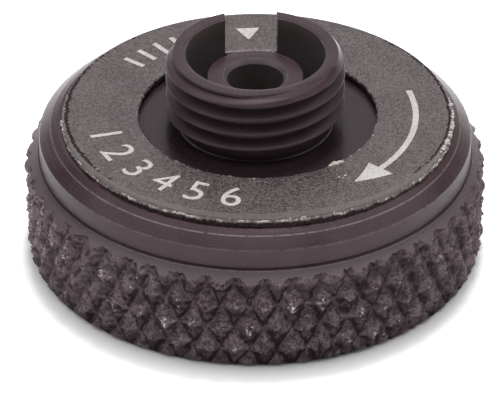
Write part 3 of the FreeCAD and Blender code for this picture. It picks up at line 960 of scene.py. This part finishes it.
def stroke(path, width):
    """Points and faces of a thin bar along rows of x and y; the width may change along the path."""
    along = np.gradient(path, axis=0)
    half = np.broadcast_to(width, len(path))[:, None] / 2
    side = np.column_stack((-along[:, 1], along[:, 0])) / np.hypot(*along.T)[:, None] * half
    left, right = path + side, path - side
    corners = ((left, PRINT_LOW), (right, PRINT_LOW), (right, PRINT_HIGH), (left, PRINT_HIGH))
    stations = np.stack([np.column_stack((place, np.full(len(path), height), np.zeros(len(path))))
                         for place, height in corners], axis=1)
    faces = [[4 * i + k, 4 * i + 4 + k, 4 * i + 4 + (k + 1) % 4, 4 * i + (k + 1) % 4]
             for i in range(len(path) - 1) for k in range(4)]
    last = 4 * len(path) - 4
    return stations.reshape(-1, 4), faces + [[0, 1, 2, 3], [last + 3, last + 2, last + 1, last]]


print("print is", round(PRINT_HIGH - LABEL_TOP_Z, 3), "mm thick")

# %% [markdown]
# ## Numbers
# A number has too many curves to draw with bars. Blender's own font has them ready: a text object is made
# for a moment, its mesh is taken, doubled points are merged so that the number is closed, and the text is
# thrown away. The numbers stand with their feet towards the rim, to be read from outside.

# %% Numerals
SAME_POINT = 1e-4
NUMERAL_CURVE_STEPS = 4


def numeral(digit, degrees, radius, size):
    """Points and faces of a printed number in Blender's own font, with its feet towards the rim."""
    curve = bpy.data.curves.new("numeral", "FONT")
    curve.body, curve.size, curve.align_x, curve.align_y = str(digit), size, "CENTER", "CENTER"
    curve.extrude, curve.resolution_u = (PRINT_HIGH - PRINT_LOW) / 2, NUMERAL_CURVE_STEPS
    text = bpy.data.objects.new("numeral", curve)
    shape = bmesh.new()
    shape.from_mesh(text.to_mesh())
    bmesh.ops.remove_doubles(shape, verts=shape.verts, dist=SAME_POINT)
    shape.verts.index_update()
    flat = np.array([vertex.co for vertex in shape.verts])
    faces = [[vertex.index for vertex in face.verts] for face in shape.faces]
    shape.free()
    bpy.data.objects.remove(text)
    bpy.data.curves.remove(curve)
    turn = math.radians(degrees)
    rightward = np.array((-math.sin(turn), math.cos(turn)))
    inward = np.array((-math.cos(turn), -math.sin(turn)))
    place = on_label([degrees], radius) + flat[:, :1] * rightward + flat[:, 1:2] * inward
    return np.column_stack((place, flat[:, 2] + (PRINT_LOW + PRINT_HIGH) / 2, np.zeros(len(flat)))), faces


print("a 6 has", len(numeral(6, 0, 1, 1)[1]), "faces")

# %% [markdown]
# ## White ink
# Screen-printed ink is a thin, matt white that lets a little of the film's grain through. A plain white
# would look pasted on. So the same fine grain that the film has makes the ink thinner in places.

# %% Ink
THIN_INK, FULL_INK = (0.32, 0.295, 0.29, 1), (0.50, 0.475, 0.465, 1)
ink, tree, shader = new_material("white_print")
ink_grain = use_group(tree, fine_grain, {"Grain Size mm": 0.09, "Unevenness": 0.4})["Grain"]
ink_colour = blend(tree, spread_out(tree, ink_grain, 0.3, 0.6), THIN_INK, FULL_INK)
tree.links.new(ink_colour, shader.inputs["Base Color"])
shader.inputs["Roughness"].default_value = 0.6
print("ink:", ink.name)

# %% [markdown]
# ## Arrow, numbers, bars and index
# Angles count from +X, so the arrow's negative ones lie at the right front. Its head and the index are
# strokes that narrow to a point. All marks are gathered in one mesh: they were printed in one pass, and one
# piece is easier to hide or change than fourteen.

# %% Printed marks
PRINT_R = 7.05
ARROW_START, ARROW_NECK, ARROW_TIP = 12, -44, -57
LINE_WIDTH, BAR_WIDTH = 0.27, 0.24
HEAD_WIDTH, HEAD_POINT, INDEX_WIDTH, INDEX_POINT = 1.35, 0.04, 1.1, 0.05
NUMBER_SIZE, NUMBER_START, NUMBER_STEP = 2.1, -181, 13
MARKS_SHARP_DEGREES = 30


def gather(solids):
    """Several loose solids as the points and faces of one mesh."""
    starts = np.cumsum([0] + [len(points) for points, _ in solids])
    faces = [[int(start) + corner for corner in face]
             for start, (_, made) in zip(starts, solids) for face in made]
    return np.vstack([points for points, _ in solids]), faces


def arc(start, end, steps):
    return on_label(np.linspace(start, end, steps), np.full(steps, PRINT_R))


def spoke(degrees, outer, inner, steps):
    return on_label(np.full(steps, degrees), np.linspace(outer, inner, steps))


strokes = [stroke(arc(ARROW_START, ARROW_NECK, 60), LINE_WIDTH),
           stroke(arc(ARROW_NECK, ARROW_TIP, 20), np.linspace(HEAD_WIDTH, HEAD_POINT, 20))]
for digit in range(1, 7):
    strokes.append(numeral(digit, NUMBER_START + NUMBER_STEP * digit, PRINT_R, NUMBER_SIZE))
for degrees in (139, 132, 125, 118, 111):
    strokes.append(stroke(spoke(degrees, 7.6, 6.5, 4), BAR_WIDTH))
strokes.append(stroke(spoke(90, 7.35, 6.35, 8), np.linspace(INDEX_WIDTH, INDEX_POINT, 8)))

points, faces = gather(strokes)
marks = new_piece("label_marks", points, faces, [0] * len(faces), (ink,), MARKS_SHARP_DEGREES)
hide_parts("face_label")

# %% [markdown]
# ## Crumbs of torn core
# Where the punch tore the label, crumbs of its pale core still cling to it: a few larger ones at the hole's
# front right, tiny ones around the hole, and a row along the right rim. A particle system would strew them
# anywhere. Here each is a small lump of five rings of nine points, pushed about with a fixed seed, where we
# want it.

# %% Crumbs
LUMP_POINTS, LUMP_TILTS, LUMP_FLATNESS = 9, (-1.4, -0.6, 0.0, 0.6, 1.3), 0.55
LUMP_SUNK = 0.02
CRUMBS_SHARP_DEGREES = 35
DULL_CORE, CHALKY_CORE = (0.26, 0.24, 0.22, 1), (0.60, 0.56, 0.53, 1)


def lump(degrees, radius, size, draw):
    """A crumb of about this size, half sunk into the label."""
    around = directions(LUMP_POINTS, draw.uniform(0, 1))
    rings = [ring(around, size * math.cos(tilt) * draw.uniform(0.6, 1.1, LUMP_POINTS),
                  LUMP_FLATNESS * size * math.sin(tilt), 1.0) for tilt in LUMP_TILTS]
    points = np.vstack(rings)
    points[:, :2] += on_label([degrees], radius)
    points[:, 2] += LABEL_TOP_Z - LUMP_SUNK
    firsts = range(0, len(points), LUMP_POINTS)
    faces = [face for first, after in zip(firsts, firsts[1:])
             for face in join_rings(first, LUMP_POINTS, after, LUMP_POINTS)]
    return points, faces + [list(range(LUMP_POINTS - 1, -1, -1)), list(range(firsts[-1], len(points)))]


draw = np.random.default_rng(21)
places = [  # degrees, radius and size
    (-54.8, 5.40, 0.20), (-52.4, 5.44, 0.16), (-57.4, 5.38, 0.11), (-50.8, 5.48, 0.08),
    (-57.0, 6.40, 0.08), (-58.6, 6.50, 0.06), (-59.8, 6.37, 0.07), (-57.6, 6.70, 0.05)]
for radius, angles, sizes in (
        (5.42, draw.uniform(-180, 20, 12), draw.uniform(0.03, 0.06, 12)),
        (8.68, draw.normal(-13, 9, 24), draw.uniform(0.05, 0.14, 24))):
    places += [(degrees, radius, size) for degrees, size in zip(angles, sizes)]
core, tree, shader = new_material("torn_white_core")
core_grain = use_group(tree, fine_grain, {"Grain Size mm": 0.08, "Unevenness": 0.5})["Grain"]
tree.links.new(blend(tree, core_grain, DULL_CORE, CHALKY_CORE), shader.inputs["Base Color"])
shader.inputs["Roughness"].default_value = 0.8
points, faces = gather([lump(*place, draw) for place in places])
crumbs = new_piece("label_crumbs", points, faces, [0] * len(faces), (core,), CRUMBS_SHARP_DEGREES)
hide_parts("face_label")

# %% [markdown]
# ## Studio: the paper floor
# The cap stands on white paper. In a studio the paper is lit until it is pure white, and only the cap's own
# shadow shows. A brighter lamp would bleach the cap as well. So outside a small oval around the cap the
# paper glows, but only as the camera and reflections see it. It isn't a lamp. The oval without glow is a
# painted shadow around the cap, added to its real one.

# %% Floor
FLOOR_HALF = 1.5
PAPER_DARK, PAPER_PALE = (0.86, 0.86, 0.86, 1), (0.90, 0.90, 0.90, 1)
SHADOW_STRETCH = (1.04, 1.0, 1.0)
SHADOW_START, SHADOW_END = 9.95 * MM, 11.65 * MM
GLOW = 0.40
bpy.context.scene.view_settings.view_transform = "Standard"
corners = [(x * FLOOR_HALF, y * FLOOR_HALF, 0) for x, y in ((-1, -1), (1, -1), (1, 1), (-1, 1))]
floor_mesh = bpy.data.meshes.new("paper_floor")
floor_mesh.from_pydata(corners, [], [(0, 1, 2, 3)])
floor = bpy.data.objects.new("paper_floor", floor_mesh)
bpy.context.scene.collection.objects.link(floor)

paper, tree, shader = new_material("white_paper")
fibre = use_group(tree, fine_grain, {"Grain Size mm": 0.4, "Unevenness": 0.2})["Grain"]
tree.links.new(blend(tree, fibre, PAPER_DARK, PAPER_PALE), shader.inputs["Base Color"])
shader.inputs["Roughness"].default_value = 0.9
shader.inputs["Specular IOR Level"].default_value = 0.0
sight = add(tree, "LightPath").outputs
seen = maths(tree, "ADD", maths(tree, "ADD", sight["Is Camera Ray"], sight["Is Glossy Ray"]),
             sight["Is Transmission Ray"])
on_paper = add(tree, "VectorMath", {0: add(tree, "TexCoord").outputs["Object"], 1: SHADOW_STRETCH},
               operation="MULTIPLY").outputs["Vector"]
from_cap = add(tree, "VectorMath", {0: on_paper}, operation="LENGTH").outputs["Value"]
# no glow inside the oval: a painted shadow close around the cap
glow = spread_out(tree, from_cap, SHADOW_START, SHADOW_END, interpolation_type="SMOOTHSTEP")
tree.links.new(glow, shader.inputs["Emission Color"])
tree.links.new(maths(tree, "MULTIPLY", seen, GLOW), shader.inputs["Emission Strength"])
floor_mesh.materials.append(paper)
print("floor", floor.name, "with a shadow oval of", round(SHADOW_END / MM, 2), "mm")

# %% [markdown]
# ## Studio: the light tent
# Dark glossy metal shows what is around it. Photographers put a white tent over such parts, with brighter
# panels where an edge should shine. An environment photo would do the same, but we'd have to take what it
# shows. Our tent is a dim world with soft panels: a skyline that is bright at the front, a panel at the
# back, one overhead and two at the sides. Each is a smooth ramp of the direction in which a ray leaves.

# %% World
world = bpy.data.worlds.new("white_tent")
bpy.context.scene.world = world
world.use_nodes = True
tree = world.node_tree
toward = add(tree, "TexCoord").outputs["Generated"]
x, y, z = add(tree, "SeparateXYZ", {0: toward}).outputs
sideways = maths(tree, "ABSOLUTE", x)
both_sides = add(tree, "CombineXYZ", {0: sideways, 1: y, 2: z}).outputs[0]


def panel(value, start, end, strength):
    """A soft-edged bright patch of the tent: 0 where the value is at start, full strength at end."""
    return spread_out(tree, value, start, end, 0.0, strength, interpolation_type="SMOOTHSTEP")


def facing(way, vector):
    return add(tree, "VectorMath", {0: vector, 1: way}, operation="DOT_PRODUCT").outputs["Value"]


cloth = maths(tree, "ADD", panel(x, -0.8, 0.0, 0.09), 0.14)
middle_gain = maths(tree, "ADD", panel(sideways, 0.6, 0.1, 1.0), 1.0)
back = maths(tree, "MULTIPLY", panel(y, 0.50, 0.85, 0.26), middle_gain)
front_gain = maths(tree, "ADD", panel(y, 0.3, -0.3, 2.4), 0.6)
skyline = maths(tree, "MULTIPLY", panel(z, 0.17, 0.0, 1.0), front_gain)
overhead = panel(facing((0, -0.25, 0.97), toward), 0.92, 0.985, 1.5)
sides = panel(facing((0.6, 0, 0.8), both_sides), 0.86, 0.97, 1.2)
tent = cloth
for patch in (back, skyline, overhead, sides):
    tent = maths(tree, "ADD", patch, tent)
tree.links.new(tent, tree.nodes["Background"].inputs["Color"])
print("world", world.name, "with", len(tree.nodes), "nodes")

# %% [markdown]
# ## Studio: the lamp
# One soft box hangs above and a little behind, so that the shadow falls forward. A sun would throw a hard
# shadow, and the tent alone hardly any. A disk-shaped area lamp gives the soft edge that a real soft box
# gives.

# %% Lamp
BOX_PLACE, BOX_AIM = Vector((0.02, 0.125, 0.40)), Vector((0, 0, 0.004))
BOX_SIZE, BOX_WATTS = 0.10, 1.25
lamp = bpy.data.lights.new("overhead_soft_box", "AREA")
lamp.shape, lamp.size, lamp.energy = "DISK", BOX_SIZE, BOX_WATTS
soft_box = bpy.data.objects.new("overhead_soft_box", lamp)
soft_box.location = BOX_PLACE
soft_box.rotation_euler = (BOX_AIM - BOX_PLACE).to_track_quat("-Z", "Y").to_euler()
bpy.context.scene.collection.objects.link(soft_box)
print("lamp:", soft_box.name)
